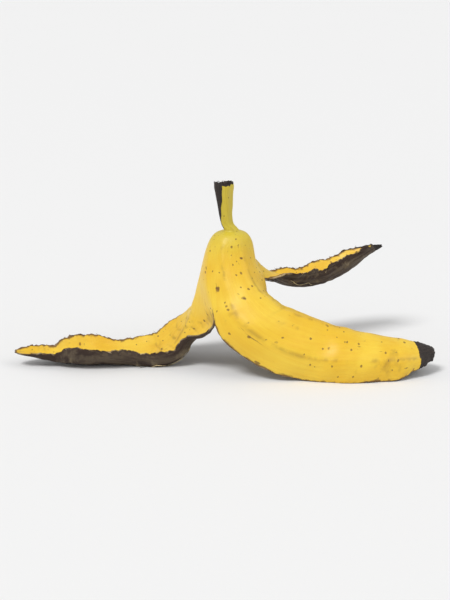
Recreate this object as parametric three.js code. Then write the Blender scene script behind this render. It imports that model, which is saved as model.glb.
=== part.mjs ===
// A banana peel, stem up, opened into three flaps that stay joined under the stem.
//
// The peel is one shell. Every flap is a strip that starts as a sector of the closed banana and
// follows its own mid-line down and out, while its arched cross-section opens, flattens or turns
// over. The left flap lies on the floor to -X with its skin up and its near edge curled back, the
// front flap stands on its two edges to +X, and the rear flap stays up in the air behind it. The
// stem is solid and its cut end is at the top.
//
// Frame: +Z up, the floor at z = 0, the origin under the middle of the bounding box.
import * as THREE from "three";

// --- driving dimensions, in millimetres and degrees ------------------------------------------

const NECK_HEIGHT = 85; // from the floor to where the stem meets the fruit's shoulder
const ROW_STEP = 4; // spacing of the rows of points along a flap
const FACET_DEPTH = 0.06; // how far a facet is hollowed, as a share of the banana's radius
const HEAD_WALL = 3.2; // thickness of the peel where the flaps are still joined
const CAVITY_START = 8; // the hollow begins this far below the neck
const FLOOR_PRESS = 1.7; // how far the peel flattens where it lies on the floor
const TIP_LENGTH = 40; // length over which a flap's thickness changes towards its tip

// Radius of the whole banana against the distance from the neck, measured along the skin.
const BANANA_RADIUS = [
  [0, 4.4], [2.5, 6.5], [6, 9.7], [11, 13], [18, 15.6], [28, 17.4], [42, 18.8], [60, 20],
  [78, 20], [96, 19.6], [114, 18.4], [130, 16.2], [142, 13.2], [151, 9], [156, 5.8],
];

// Each table lists [distance from the neck, value].
//   lift     angle of the mid-line from straight down, 90 is level and more than 90 climbs
//   heading  compass direction of the mid-line, 0 is +X and 90 is +Y
//   share    width of the strip, as degrees of the banana's girth
//   sweep    degrees that the cross-section's arc turns, negative where the skin is the hollow side
//   roll     degrees that the cross-section leans about the mid-line
//   lip      degrees that the outer part at one edge curls back over the skin
// lipSide says which edge: 1 is the one towards the next flap. splitAt is where the tear towards
// the next flap begins and openOver how soon its edges part. tipWall is the share of a flap's
// thickness at its tip: the front flap ends in the thick, dry blossom end, while the others thin
// out.
const FLAPS = [
  {
    name: "front", sector: 158, length: 156, wall: 3.6, taper: 0, columns: 16,
    splitAt: 30, openOver: 16, tipWall: 1.15,
    lift: [[0, 0], [14, 0], [28, 26], [44, 49], [64, 65], [86, 76], [110, 77], [138, 78], [156, 68]],
    heading: [[0, -67], [20, -58], [40, -33], [64, -4], [90, 5], [125, 7], [156, 8]],
    share: [[0, 158], [34, 176], [50, 226], [70, 232], [110, 234], [156, 222]],
    sweep: [[0, 158], [34, 152], [60, 172], [85, 204], [110, 208], [156, 182]],
    roll: [[0, 0], [34, 0], [70, 22], [110, 2], [156, 0]],
    lip: [[0, 0], [156, 0]],
    lipSide: 1,
    ridges: [-0.6, 0.05, 0.7],
  },
  {
    name: "rear", sector: 110, length: 136, wall: 2.1, taper: 44, columns: 10,
    splitAt: 42, openOver: 20, tipWall: 0.5,
    lift: [[0, 0], [12, 6], [26, 34], [40, 48], [56, 59], [80, 90], [110, 116], [136, 118]],
    heading: [[0, 67], [12, 58], [24, 41], [60, 34], [100, 24], [136, 14]],
    share: [[0, 110], [40, 102], [70, 104], [110, 102], [136, 112]],
    sweep: [[0, 110], [26, 90], [42, 0], [58, -76], [90, -136], [136, -138]],
    roll: [[0, 0], [36, 0], [60, -5], [100, -9], [136, -14]],
    lip: [[0, 0], [40, 0], [60, 15], [110, 15], [136, 0]],
    lipSide: -1,
    ridges: [0],
  },
  {
    name: "left", sector: 92, length: 180, wall: 3.2, taper: 40, columns: 12,
    splitAt: 44, openOver: 32, tipWall: 0.5,
    lift: [
      [0, 0], [14, 0], [30, 8], [48, 15], [66, 20], [80, 42], [94, 77], [108, 87], [124, 91],
      [150, 95], [180, 102],
    ],
    heading: [[0, 168], [30, 172], [60, 184], [100, 187], [158, 187]],
    share: [[0, 92], [40, 98], [64, 114], [84, 118], [110, 114], [160, 200]],
    sweep: [
      [0, 92], [40, 80], [64, 20], [84, -10], [104, -60], [130, -106], [160, -120], [180, -60],
    ],
    roll: [
      [0, 0], [44, 0], [60, -8], [76, -22], [92, -18], [110, -5], [130, -1], [160, -5], [180, -10],
    ],
    lip: [
      [0, 0], [42, 0], [54, 60], [66, 98], [84, 104], [100, 80], [120, 36], [160, 20], [180, 0],
    ],
    lipSide: 1,
    ridges: [0],
  },
];
const LIP_FROM = 0.4; // the lip starts this far from the mid-line to its edge
const HEAD_JOINED_TO = 14; // up to here the three sectors are exact parts of the round banana
const HEAD_FREE_FROM = 30; // from here the tables alone give width and sweep
const SLOPE_FADE = [24, 44]; // the banana's own taper stops steering the mid-line between these
const WALL_FADE = [52, 72]; // the head's thickness changes to the flap's own between these
const TAPER_POWER = 2.2; // roundness of a flap's tip
const TAPER_END = 0.985; // share of the taper that is kept, so that a tip stays blunt
const SLOPE_STEP = 0.5; // the banana's slope is measured over this much to each side
const STEEPEST = 0.98; // and its sine goes no further than this
const MIDLINE_STEPS = 4; // steps along the mid-line for each row
const LEAST_BEND = 1e-6; // a flat section curves by this many radians for each millimetre

// The stem, from the cut down: [height above the neck, radius, lean towards -X].
const STEM = [
  [28.6, 5.6, 4.9], [26.5, 5.8, 4.8], [22, 5.2, 4.6], [15, 4.5, 4], [8, 3.8, 3.5], [3, 3.7, 2.3],
];
const STEM_SIDES = 5; // the stem's section is a soft pentagon
const STEM_FACET = 0.07; // and this share of its radius goes in and out
const CUT_CROWN = 1.3; // the cut end rises this much to its middle
const CUT_WAVE = 0.7; // and its rim goes up and down twice by this much
const CUT_BEARING = 0.6; // turned by this many radians

// --- tables and angles ------------------------------------------------------------------------

const radians = THREE.MathUtils.degToRad;
const smooth = THREE.MathUtils.smoothstep;
const mix = THREE.MathUtils.lerp;

// Cubic Hermite curve through a table's points, level at both ends and flat beyond them.
function tableValue(table, station) {
  const last = table.length - 1;
  const s = THREE.MathUtils.clamp(station, table[0][0], table[last][0]);
  let k = 0;
  while (k < last - 1 && s >= table[k + 1][0]) k += 1;
  const width = table[k + 1][0] - table[k][0];
  const t = (s - table[k][0]) / width;
  const chord = (i) => (table[i + 1][1] - table[i][1]) / (table[i + 1][0] - table[i][0]);
  const slope = (i) => {
    if (i === 0 || i === last) return 0;
    const before = table[i][0] - table[i - 1][0];
    const after = table[i + 1][0] - table[i][0];
    return (chord(i) * before + chord(i - 1) * after) / (before + after);
  };
  const rise = t * t * (3 - 2 * t);
  return mix(table[k][1], table[k + 1][1], rise)
    + (t ** 3 - 2 * t ** 2 + t) * width * slope(k)
    + (t ** 3 - t ** 2) * width * slope(k + 1);
}

const bananaRadius = (s) => tableValue(BANANA_RADIUS, s);
const headShare = (s) => 1 - smooth(s, HEAD_JOINED_TO, HEAD_FREE_FROM);

// --- one flap ---------------------------------------------------------------------------------

// Direction of the mid-line: the flap's lift plus the slope of the banana's own shoulder.
function midlineDirection(flap, s) {
  const low = Math.max(s - SLOPE_STEP, 0);
  const high = s + SLOPE_STEP;
  const slope = (bananaRadius(high) - bananaRadius(low)) / (high - low);
  const shoulder = Math.asin(THREE.MathUtils.clamp(slope, -STEEPEST, STEEPEST));
  const tilt = radians(tableValue(flap.lift, s)) + shoulder * (1 - smooth(s, ...SLOPE_FADE));
  const turn = radians(tableValue(flap.heading, s));
  return new THREE.Vector3(
    Math.cos(turn) * Math.sin(tilt), Math.sin(turn) * Math.sin(tilt), -Math.cos(tilt));
}

// The mid-line's points, one for each row, summed from its direction in small steps.
function midline(flap, rows) {
  const step = ROW_STEP / MIDLINE_STEPS;
  const start = radians(flap.heading[0][1]);
  const at = new THREE.Vector3(
    bananaRadius(0) * Math.cos(start), bananaRadius(0) * Math.sin(start), NECK_HEIGHT);
  const points = [at.clone()];
  for (let k = 1; k <= (rows - 1) * MIDLINE_STEPS; k += 1) {
    at.addScaledVector(midlineDirection(flap, (k - 0.5) * step), step);
    if (k % MIDLINE_STEPS === 0) points.push(at.clone());
  }
  return points;
}

// Width of the strip at a station, along its curved section.
function stripWidth(flap, s) {
  const head = headShare(s);
  const girth = mix(tableValue(flap.share, s), flap.sector, head);
  const into = flap.taper ? (s - flap.length + flap.taper) / flap.taper : 0;
  const taper = THREE.MathUtils.clamp(into, 0, TAPER_END);
  return bananaRadius(s) * radians(girth) * Math.sqrt(1 - taper ** TAPER_POWER);
}

// How far a facet lies inside the round banana: nothing on a ridge and most half-way between two.
function facetOffset(bearing, ridgeBearings, s) {
  const turned = (from) => (((bearing - from) % 360) + 360) % 360;
  const sorted = [...ridgeBearings].sort((a, b) => turned(a) - turned(b));
  const behind = turned(sorted[0]);
  const ahead = 360 - turned(sorted[sorted.length - 1]);
  const t = behind / (behind + ahead);
  return FACET_DEPTH * bananaRadius(s) * 4 * t * (1 - t) * smooth(s, 0, HEAD_JOINED_TO);
}

// A curvature that is never quite zero, so that an arc can be divided by it.
const bent = (curvature) => (Math.abs(curvature) < LEAST_BEND ? LEAST_BEND : curvature);

// A section's sideways and inward place at u, from -1 to 1 across it, and how far it has turned
// there: one arc, and from LIP_FROM on towards the lip's side a second one that curls back.
function sectionPlace(flap, s, u) {
  const half = stripWidth(flap, s) / 2;
  const arc = radians(mix(tableValue(flap.sweep, s), flap.sector, headShare(s)));
  const bend = bent(arc / (2 * half));
  const start = LIP_FROM * half;
  const lipBend = bent(bend - radians(tableValue(flap.lip, s)) / (half - start));
  const distance = flap.lipSide * u * half;
  const inner = Math.min(distance, start);
  const turned = bend * inner;
  const ended = turned + lipBend * (distance - inner);
  const sideways = Math.sin(turned) / bend + (Math.sin(ended) - Math.sin(turned)) / lipBend;
  const inwards = (Math.cos(turned) - 1) / bend + (Math.cos(ended) - Math.cos(turned)) / lipBend;
  return { sideways: flap.lipSide * sideways, inwards, angle: flap.lipSide * ended };
}

// Grid of points of one flap's skin: its sections, carried along the mid-line.
function flapGrid(flap, ridgeBearings) {
  const rows = Math.round(flap.length / ROW_STEP) + 1;
  const centres = midline(flap, rows);
  return centres.map((centre, row) => {
    const s = row * ROW_STEP;
    const turn = radians(tableValue(flap.heading, s));
    const lift = radians(tableValue(flap.lift, s));
    const roll = radians(tableValue(flap.roll, s));
    const level = new THREE.Vector3(-Math.sin(turn), Math.cos(turn), 0);
    const out = new THREE.Vector3(
      Math.cos(turn) * Math.cos(lift), Math.sin(turn) * Math.cos(lift), Math.sin(lift));
    const across = level.clone().multiplyScalar(Math.cos(roll)).addScaledVector(out, Math.sin(roll));
    const proud = out.clone().multiplyScalar(Math.cos(roll)).addScaledVector(level, -Math.sin(roll));
    return Array.from({ length: flap.columns + 1 }, (_, column) => {
      const u = 2 * column / flap.columns - 1;
      const { sideways, inwards, angle } = sectionPlace(flap, s, u);
      const bearing = flap.heading[0][1] + u * flap.sector / 2;
      const inset = facetOffset(bearing, ridgeBearings, s);
      return centre.clone()
        .addScaledVector(across, sideways - inset * Math.sin(angle))
        .addScaledVector(proud, inwards - inset * Math.cos(angle));
    });
  });
}

// Draws the facing edges of two neighbours together where they are still joined or just torn.
function closeSeam(grid, nextGrid, splitAt, openOver) {
  const rows = Math.min(grid.length, nextGrid.length);
  const lastColumn = grid[0].length - 1;
  const nextColumns = nextGrid[0].length - 1;
  for (let row = 0; row < rows; row += 1) {
    const hold = 1 - smooth(row * ROW_STEP, splitAt, splitAt + openOver);
    const edge = grid[row][lastColumn].clone();
    const nextEdge = nextGrid[row][0].clone();
    const middle = edge.clone().lerp(nextEdge, 0.5);
    const pull = middle.clone().sub(edge).multiplyScalar(hold);
    const nextPull = middle.clone().sub(nextEdge).multiplyScalar(hold);
    grid[row].forEach((point, column) => {
      point.addScaledVector(pull, smooth(2 * column / lastColumn - 1, 0, 1));
    });
    nextGrid[row].forEach((point, column) => {
      point.addScaledVector(nextPull, smooth(1 - 2 * column / nextColumns, 0, 1));
    });
    if (hold === 1) nextGrid[row][0].copy(grid[row][lastColumn]);
  }
}

// --- the shell --------------------------------------------------------------------------------

class Shell {
  constructor() {
    this.points = [];
    this.faces = [];
  }

  add(point) {
    return this.points.push(point) - 1;
  }

  quad(a, b, c, d) {
    this.faces.push(a, b, c, a, c, d);
  }

  // A fan from one point to a closed ring of points.
  fan(centre, ring) {
    ring.forEach((id, k) => this.faces.push(centre, id, ring[(k + 1) % ring.length]));
  }

  geometry() {
    const geometry = new THREE.BufferGeometry();
    const flat = this.points.flatMap((point) => point.toArray());
    geometry.setAttribute("position", new THREE.Float32BufferAttribute(flat, 3));
    geometry.setIndex(this.faces);
    return geometry;
  }

  // Unit normals of the surface made so far, one for each point.
  normals() {
    const geometry = this.geometry();
    geometry.computeVertexNormals();
    const normal = geometry.getAttribute("normal");
    return this.points.map((_, k) => new THREE.Vector3().fromBufferAttribute(normal, k));
  }
}

// Point numbers of each flap's skin. Joined edges share their points.
function skinNumbers(shell, grids) {
  const numbers = grids.map((grid) => grid.map((row) => row.map((point) => shell.add(point))));
  numbers.forEach((rows, f) => {
    const next = numbers[(f + 1) % numbers.length];
    rows.forEach((row, k) => {
      if (k * ROW_STEP <= FLAPS[f].splitAt) row[row.length - 1] = next[k][0];
    });
  });
  return numbers;
}

// The numbers of one row right round the head, where the flaps are joined.
const ringOf = (numbers, row) => numbers.flatMap((rows) => rows[row].slice(0, -1));

function sewRows(shell, upper, lower, flipped) {
  for (let k = 0; k + 1 < upper.length; k += 1) {
    if (flipped) shell.quad(upper[k + 1], lower[k + 1], lower[k], upper[k]);
    else shell.quad(upper[k], lower[k], lower[k + 1], upper[k + 1]);
  }
}

// The stem's rings from the cut end down, each a soft pentagon round the leaning middle.
function addStem(shell, neckRing) {
  const bearings = neckRing.map((id) => Math.atan2(shell.points[id].y, shell.points[id].x));
  const rings = STEM.map(([height, radius, lean], level) => bearings.map((bearing) => {
    const r = radius * (1 + STEM_FACET * Math.cos(STEM_SIDES * bearing));
    const cut = level === 0 ? CUT_WAVE * Math.sin(2 * bearing + CUT_BEARING) : 0;
    return shell.add(new THREE.Vector3(
      r * Math.cos(bearing) - lean, r * Math.sin(bearing), NECK_HEIGHT + height + cut));
  }));
  const closed = [...rings, neckRing].map((ring) => [...ring, ring[0]]);
  closed.slice(1).forEach((lower, k) => sewRows(shell, closed[k], lower, false));
  const [height, , lean] = STEM[0];
  const crown = shell.add(new THREE.Vector3(-lean, 0, NECK_HEIGHT + height + CUT_CROWN));
  shell.fan(crown, rings[0]);
}

// The peel's thickness: the head's, then the flap's own, changing towards its tip.
function wallAt(flap, s) {
  const own = mix(HEAD_WALL, flap.wall, smooth(s, ...WALL_FADE));
  return own * mix(1, flap.tipWall, smooth(s, flap.length - TIP_LENGTH, flap.length));
}

// The pith side lies one wall thickness under the skin, from the top of the hollow down.
function pithNumbers(shell, skin, firstRow) {
  const normals = shell.normals();
  const made = new Map();
  return skin.map((rows, f) => rows.map((row, k) => row.map((id) => {
    if (k < firstRow) return -1;
    if (!made.has(id)) {
      const wall = wallAt(FLAPS[f], k * ROW_STEP);
      made.set(id, shell.add(shell.points[id].clone().addScaledVector(normals[id], -wall)));
    }
    return made.get(id);
  })));
}

function buildPeel() {
  const ridgeBearings = FLAPS.flatMap(
    (flap) => flap.ridges.map((u) => flap.heading[0][1] + u * flap.sector / 2));
  const grids = FLAPS.map((flap) => flapGrid(flap, ridgeBearings));
  FLAPS.forEach((flap, f) => {
    closeSeam(grids[f], grids[(f + 1) % FLAPS.length], flap.splitAt, flap.openOver);
  });

  const shell = new Shell();
  const skin = skinNumbers(shell, grids);
  skin.forEach((rows) => {
    rows.slice(1).forEach((lower, k) => sewRows(shell, rows[k], lower, false));
  });
  addStem(shell, ringOf(skin, 0));

  const firstRow = Math.round(CAVITY_START / ROW_STEP);
  const pith = pithNumbers(shell, skin, firstRow);
  pith.forEach((rows) => {
    for (let k = firstRow; k + 1 < rows.length; k += 1) sewRows(shell, rows[k], rows[k + 1], true);
  });
  const roofRing = ringOf(pith, firstRow);
  const roof = roofRing.reduce(
    (sum, id) => sum.addScaledVector(shell.points[id], 1 / roofRing.length), new THREE.Vector3());
  shell.fan(shell.add(roof), roofRing.reverse());

  // Torn edges on both sides of each flap, and its end.
  skin.forEach((rows, f) => {
    const before = (f + FLAPS.length - 1) % FLAPS.length;
    const last = rows.length - 1;
    const end = rows[0].length - 1;
    for (let k = 0; k < last; k += 1) {
      const s = (k + 1) * ROW_STEP;
      if (s > FLAPS[f].splitAt) {
        shell.quad(rows[k][end], rows[k + 1][end], pith[f][k + 1][end], pith[f][k][end]);
      }
      if (s > FLAPS[before].splitAt) {
        shell.quad(pith[f][k][0], pith[f][k + 1][0], rows[k + 1][0], rows[k][0]);
      }
    }
    sewRows(shell, rows[last], pith[f][last], false);
  });
  return shell;
}

// Sets the peel on the floor, a little flattened where it touches, over the origin.
function standOnFloor(shell) {
  const used = new Set(shell.faces);
  const box = new THREE.Box3().setFromPoints(shell.points.filter((_, id) => used.has(id)));
  const middle = box.getCenter(new THREE.Vector3());
  shell.points.forEach((point) => {
    point.x -= middle.x;
    point.y -= middle.y;
    point.z = Math.max(point.z - box.min.z - FLOOR_PRESS, 0);
  });
}

// The shell's faces as triangles of their own, which leaves out the points that no face uses.
function peelGeometry() {
  const shell = buildPeel();
  standOnFloor(shell);
  const geometry = shell.geometry().toNonIndexed();
  geometry.computeVertexNormals();
  return geometry;
}

const SKIN = new THREE.MeshStandardMaterial({ color: 0xe9bf2e, roughness: 0.55, metalness: 0 });

const group = new THREE.Group();
const peel = new THREE.Mesh(peelGeometry(), SKIN);
peel.name = "banana_peel";
group.add(peel);

export default group;
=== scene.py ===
"""A discarded banana peel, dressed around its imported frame.

The peel is worked out with numpy from the same driving dimensions as the frame's solid, on a finer
grid: ridged skin, creases where the flaps bend, ragged tears, and a corded inner side. Around it go
the dried blossom end, loose strings of pith and the frayed fibres of the snapped stem.

Lengths are in millimetres and angles in degrees until a mesh is made, which is in metres.
"""

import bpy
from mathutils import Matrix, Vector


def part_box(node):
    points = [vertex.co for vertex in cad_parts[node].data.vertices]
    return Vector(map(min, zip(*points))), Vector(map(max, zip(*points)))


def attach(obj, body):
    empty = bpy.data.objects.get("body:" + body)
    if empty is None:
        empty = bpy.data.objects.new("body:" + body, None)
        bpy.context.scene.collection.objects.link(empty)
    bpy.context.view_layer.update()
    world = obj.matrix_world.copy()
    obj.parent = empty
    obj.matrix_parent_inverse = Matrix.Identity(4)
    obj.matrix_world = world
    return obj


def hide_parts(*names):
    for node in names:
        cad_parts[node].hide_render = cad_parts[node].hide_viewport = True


bl_info = {
    "name": "Banana Peel",
    "version": (1, 0, 0),
    "blender": (4, 5, 0),
    "location": "View3D > Sidebar > Peel",
    "description": "Builds a torn-open banana peel, its finishes and a plain stage",
    "category": "Add Mesh",
}

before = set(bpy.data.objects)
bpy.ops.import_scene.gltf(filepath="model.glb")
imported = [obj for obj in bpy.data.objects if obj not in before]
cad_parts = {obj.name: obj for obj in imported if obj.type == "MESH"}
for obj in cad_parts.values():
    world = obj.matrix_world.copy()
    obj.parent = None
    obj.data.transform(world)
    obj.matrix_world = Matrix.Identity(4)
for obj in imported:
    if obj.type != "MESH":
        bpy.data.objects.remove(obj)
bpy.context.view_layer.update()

import bpy
import numpy as np
from bpy.props import FloatProperty, FloatVectorProperty, IntProperty, PointerProperty
from mathutils import Vector

MM = 0.001
FRAME_NODE = "banana_peel"
FRAME_BODY = "root"

# --- the peel's driving dimensions --------------------------------------------------------------

NECK_HEIGHT = 85.0
FACET_DEPTH = 0.06
HEAD_WALL = 3.2
TIP_LENGTH = 40.0
CAVITY_START = 8.0
BANANA_RADIUS = [
    (0, 4.4), (2.5, 6.5), (6, 9.7), (11, 13), (18, 15.6), (28, 17.4), (42, 18.8), (60, 20),
    (78, 20), (96, 19.6), (114, 18.4), (130, 16.2), (142, 13.2), (151, 9), (156, 5.8),
]

# Each table lists (distance from the neck, value).
#   lift     angle of the mid-line from straight down, 90 is level and more than 90 climbs
#   heading  compass direction of the mid-line, 0 is +X and 90 is +Y
#   share    width of the strip, as degrees of the banana's girth
#   sweep    degrees that the cross-section's arc turns, negative where the skin is the hollow side
#   roll     degrees that the cross-section leans about the mid-line
#   lip      degrees that the outer part at one edge curls back over the skin
# lip_side says which edge: 1 is the one towards the next flap. aged is how dark the whole inner
# side is made, partly as browning and partly as painted shade, and bends lists the stretches that
# crease: (first station, last station, creases, middle across).
FLAPS = [
    {
        "name": "front", "sector": 158, "length": 156, "wall": 3.6, "taper": 0, "columns": 76,
        "split_at": 30, "open_over": 16, "tip_wall": 1.15,
        "lift": [(0, 0), (14, 0), (28, 26), (44, 49), (64, 65), (86, 76), (110, 77), (138, 78),
                 (156, 68)],
        "heading": [(0, -67), (20, -58), (40, -33), (64, -4), (90, 5), (125, 7), (156, 8)],
        "share": [(0, 158), (34, 176), (50, 226), (70, 232), (110, 234), (156, 222)],
        "sweep": [(0, 158), (34, 152), (60, 172), (85, 204), (110, 208), (156, 182)],
        "roll": [(0, 0), (34, 0), (70, 22), (110, 2), (156, 0)],
        "lip": [(0, 0), (156, 0)], "lip_side": 1,
        "ridges": [-0.6, 0.05, 0.7], "aged": 0.25,
        "bends": [(34, 58, 4, 0.75)],
    },
    {
        "name": "rear", "sector": 110, "length": 136, "wall": 2.1, "taper": 44, "columns": 38,
        "split_at": 42, "open_over": 20, "tip_wall": 0.5,
        "lift": [(0, 0), (12, 6), (26, 34), (40, 48), (56, 59), (80, 90), (110, 116), (136, 118)],
        "heading": [(0, 67), (12, 58), (24, 41), (60, 34), (100, 24), (136, 14)],
        "share": [(0, 110), (40, 102), (70, 104), (110, 102), (136, 112)],
        "sweep": [(0, 110), (26, 90), (42, 0), (58, -76), (90, -136), (136, -138)],
        "roll": [(0, 0), (36, 0), (60, -5), (100, -9), (136, -14)],
        "lip": [(0, 0), (40, 0), (60, 15), (110, 15), (136, 0)], "lip_side": -1,
        "ridges": [0], "aged": 1.0,
        "bends": [(26, 60, 7, 0.0)],
    },
    {
        "name": "left", "sector": 92, "length": 180, "wall": 3.2, "taper": 40, "columns": 42,
        "split_at": 44, "open_over": 32, "tip_wall": 0.5,
        "lift": [(0, 0), (14, 0), (30, 8), (48, 15), (66, 20), (80, 42), (94, 77), (108, 87),
                 (124, 91), (150, 95), (180, 102)],
        "heading": [(0, 168), (30, 172), (60, 184), (100, 187), (158, 187)],
        "share": [(0, 92), (40, 98), (64, 114), (84, 118), (110, 114), (160, 200)],
        "sweep": [(0, 92), (40, 80), (64, 20), (84, -10), (104, -60), (130, -106), (160, -120),
                  (180, -60)],
        "roll": [(0, 0), (44, 0), (60, -8), (76, -22), (92, -18), (110, -5), (130, -1), (160, -5),
                 (180, -10)],
        "lip": [(0, 0), (42, 0), (54, 60), (66, 98), (84, 104), (100, 80), (120, 36), (160, 20),
                (180, 0)],
        "lip_side": 1,
        "ridges": [0], "aged": 1.0,
        "bends": [(58, 98, 9, 0.0)],
    },
]
LIP_FROM = 0.4
HEAD_JOINED_TO = 14.0
HEAD_FREE_FROM = 30.0
SLOPE_FADE = (24, 44)
WALL_FADE = (52, 72)
TAPER_POWER = 2.2
TAPER_END = 0.985
SLOPE_STEP = 0.5
STEEPEST = 0.98
LEAST_BEND = 1e-6
EDGE_LINES = 3

# How far the dried skin reaches from each flap's end: (at its edges, in its middle). Below zero,
# there is none.
DARK_ENDS = {"front": (8.5, 13.5), "rear": (6.5, 4.5), "left": (-3.0, -3.0)}

# The stem, from the neck up to the cut: (height above the neck, radius, lean towards -X).
STEM = [
    (0, 4.4, 0.4), (3, 3.7, 2.3), (8, 3.8, 3.5), (15, 4.5, 4.0), (22, 5.2, 4.6),
    (26.5, 5.8, 4.8), (28.6, 5.6, 4.9),
]
STEM_SIDES = 5
STEM_FACET = 0.07
CUT_CROWN = 1.3
CUT_WAVE = 0.7
CUT_BEARING = 0.6
CUT_STEPS = 12
STEM_ROWS = 42
STEM_REST_RADIUS = 4.6
STEM_TWIST = 0.012
STEM_RIBS = 31
# Bearing of the stem's side that is darkened as painted shade.
SHADED_SIDE = -165

# A tear begins to stray over STRAY_OVER below its split, and the pith's edge to fray over FRAY_OVER.
# The stray reaches STRAY_REACH into the flap, and dies out where half the width is in STRAY_ROOM.
STRAY_OVER = 9
FRAY_OVER = 6
STRAY_REACH = 12
STRAY_ROOM = (0.5, 8)

# The front flap stands on both of its torn edges, so they hardly stray past the frame's.
STANDING_FLAP = "front"
STANDING_STRAY = 0.3
STANDING_FROM = (40, 60)

# Uneven surfaces, as layers of ripples: (height, wavelength, seed).
TEAR_LAYERS = ((1, 23, 40), (0.45, 7.5, 50), (0.22, 2.9, 60))
FRAY_LAYERS = ((0.5, 5.5, 80), (0.3, 2.3, 81))
DENT_LAYERS = ((1, 21, 1), (0.35, 8, 2))
CUT_LAYERS = ((0.3, 1.5, 710), (0.16, 0.8, 711))
EDGE_LAYERS = ((0.28, 3.1, 800), (0.16, 1.7, 810))

# What changes near a tear or an end: (how much, over what distance).
EDGE_WAVE = (0.8, 6.0)
SKIN_DROP = (0.35, 0.9)
WALL_THINNING = (0.3, 2.6)

# Stretches over which a flap becomes limp, and over which its inner side darkens by browning and
# painted shade.
LIMP_OVER = (18, 60)
AGED_AND_SHADE_OVER = (22, 46)

RIDGE_WIDTH = 1.6
DARK_BLEND = 1.2
ROOF_STEPS = 10
FLOOR_POINTS = 96

# The dried stub: the stretch of the front flap that it fills, its grid and its radii.
STUB_FROM = 10
STUB_TO = 1.4
STUB_ROWS = 30
STUB_COLUMNS = 72
STUB_CAP_STEPS = 9
STUB_RADII = (2.6, 4.4)
STUB_PLACE_RADIUS = 4

# Points along each loose string, along each hair and fibre, and hairs on each torn edge.
STRING_POINTS = 44
HAIR_POINTS = 7
HAIRS_ON_EDGE = 26

# How far the small loose parts stay inside the frame's box.
HAIR_MARGIN = 0.02
FIBRE_MARGIN = 0.03
STRING_MARGIN = 0.05
STUB_MARGIN = 0.1


def number(label, text, default, low, high, kind=FloatProperty, **more):
    return kind(name=label, description=text, default=default, min=low, max=high, **more)


def colour_property(label, text, default):
    return FloatVectorProperty(
        name=label, description=text, subtype="COLOR", size=3, min=0, max=1, default=default)


class PeelSizes(bpy.types.PropertyGroup):
    """Sizes of the finer detail that the solid frame leaves out, in millimetres."""

    row_step: number("Row step", "Spacing of the rows along a flap, a divisor of 4", 0.8, 0.4, 4)
    ridge_rounding: number("Ridge rounding", "How soft the long ridges are", 0.9, 0.1, 3)
    tear_wander: number("Tear wander", "How far a tear strays from a straight line", 0.7, 0, 4)
    crease_depth: number("Crease depth", "Depth of the creases where a flap bends", 0.4, 0, 2)
    limpness: number("Limpness", "Height of the soft dents all over the flaps", 0.4, 0, 2)
    cord_height: number("Pith cords", "Height of the long cords on the inner side", 0.24, 0, 1)
    string_count: number("Loose strings", "Strings of pith that came loose", 13, 0, 60, IntProperty)
    fibre_count: number("Stem fibres", "Fibres on the snapped stem", 46, 0, 200, IntProperty)


class PeelColours(bpy.types.PropertyGroup):
    """Colours of the peel's surfaces."""

    ripe: colour_property("Ripe skin", "Main colour of the skin", (0.80, 0.50, 0.018))
    pale: colour_property("Pale skin", "Lighter patches of the skin", (0.86, 0.60, 0.045))
    green: colour_property("Green", "Unripe tint near the stem", (0.46, 0.43, 0.03))
    freckle: colour_property("Freckles", "Sugar spots, scuffs and creases", (0.13, 0.05, 0.012))
    pith: colour_property("Pith", "Inner side away from the tears", (0.80, 0.64, 0.36))
    # Nearly black: browning of the inner side, torn walls and strings, darkened further as painted
    # shade.
    browned: colour_property("Browned pith", "Inner side that has darkened", (0.034, 0.016, 0.009))
    # The dried colour also serves as painted shade down one side of the stem.
    dried: colour_property("Dried ends", "Blossom end and stem cut", (0.014, 0.009, 0.007))


class StageSettings(bpy.types.PropertyGroup):
    """Floor, camera and light."""

    floor_colour: colour_property("Floor", "Colour of the floor", (0.82, 0.82, 0.82))
    floor_radius: number("Floor radius", "Size of the floor", 8, 1, 100, unit="LENGTH")
    elevation: number("Camera height", "Angle above the floor, in degrees", 15, -10, 89)
    aim: FloatVectorProperty(
        name="Aim", default=(0.001, -0.012, 0.0386), unit="LENGTH",
        description="Place that the camera looks at")
    distance: number("Camera distance", "From camera to peel", 0.86, 0.2, 10, unit="LENGTH")
    lens: number("Lens", "In millimetres", 85, 20, 200)
    key_strength: number("Key light", "Strength of the main light", 1.8, 0, 20)
    fill_strength: number("Fill light", "Strength of the second light", 0.5, 0, 20)
    sky_strength: number("Sky", "Strength of the light from all round", 0.55, 0, 20)


# --- numbers ------------------------------------------------------------------------------------

def table_value(table, station):
    """Cubic Hermite curve through a table's points, level at both ends and flat beyond them."""
    knots, values = np.array(table, float).T
    width = np.diff(knots)
    chord = np.diff(values) / width
    slope = np.zeros(len(knots))
    slope[1:-1] = (chord[1:] * width[:-1] + chord[:-1] * width[1:]) / (width[:-1] + width[1:])
    s = np.clip(station, knots[0], knots[-1])
    k = np.clip(np.searchsorted(knots, s, side="right") - 1, 0, len(width) - 1)
    t = (s - knots[k]) / width[k]
    rise = t * t * (3 - 2 * t)
    return (values[k] * (1 - rise) + values[k + 1] * rise
            + (t ** 3 - 2 * t ** 2 + t) * width[k] * slope[k]
            + (t ** 3 - t ** 2) * width[k] * slope[k + 1])


def smooth(x, low, high):
    """S-curve from 0 at low to 1 at high."""
    t = np.clip((np.asarray(x, float) - low) / (high - low), 0, 1)
    return t * t * (3 - 2 * t)


def mix(a, b, share):
    return a + (b - a) * share


def unit(vectors):
    """Vectors scaled to length one, along the last axis."""
    length = np.linalg.norm(vectors, axis=-1, keepdims=True)
    return vectors / np.maximum(length, 1e-12)


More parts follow.
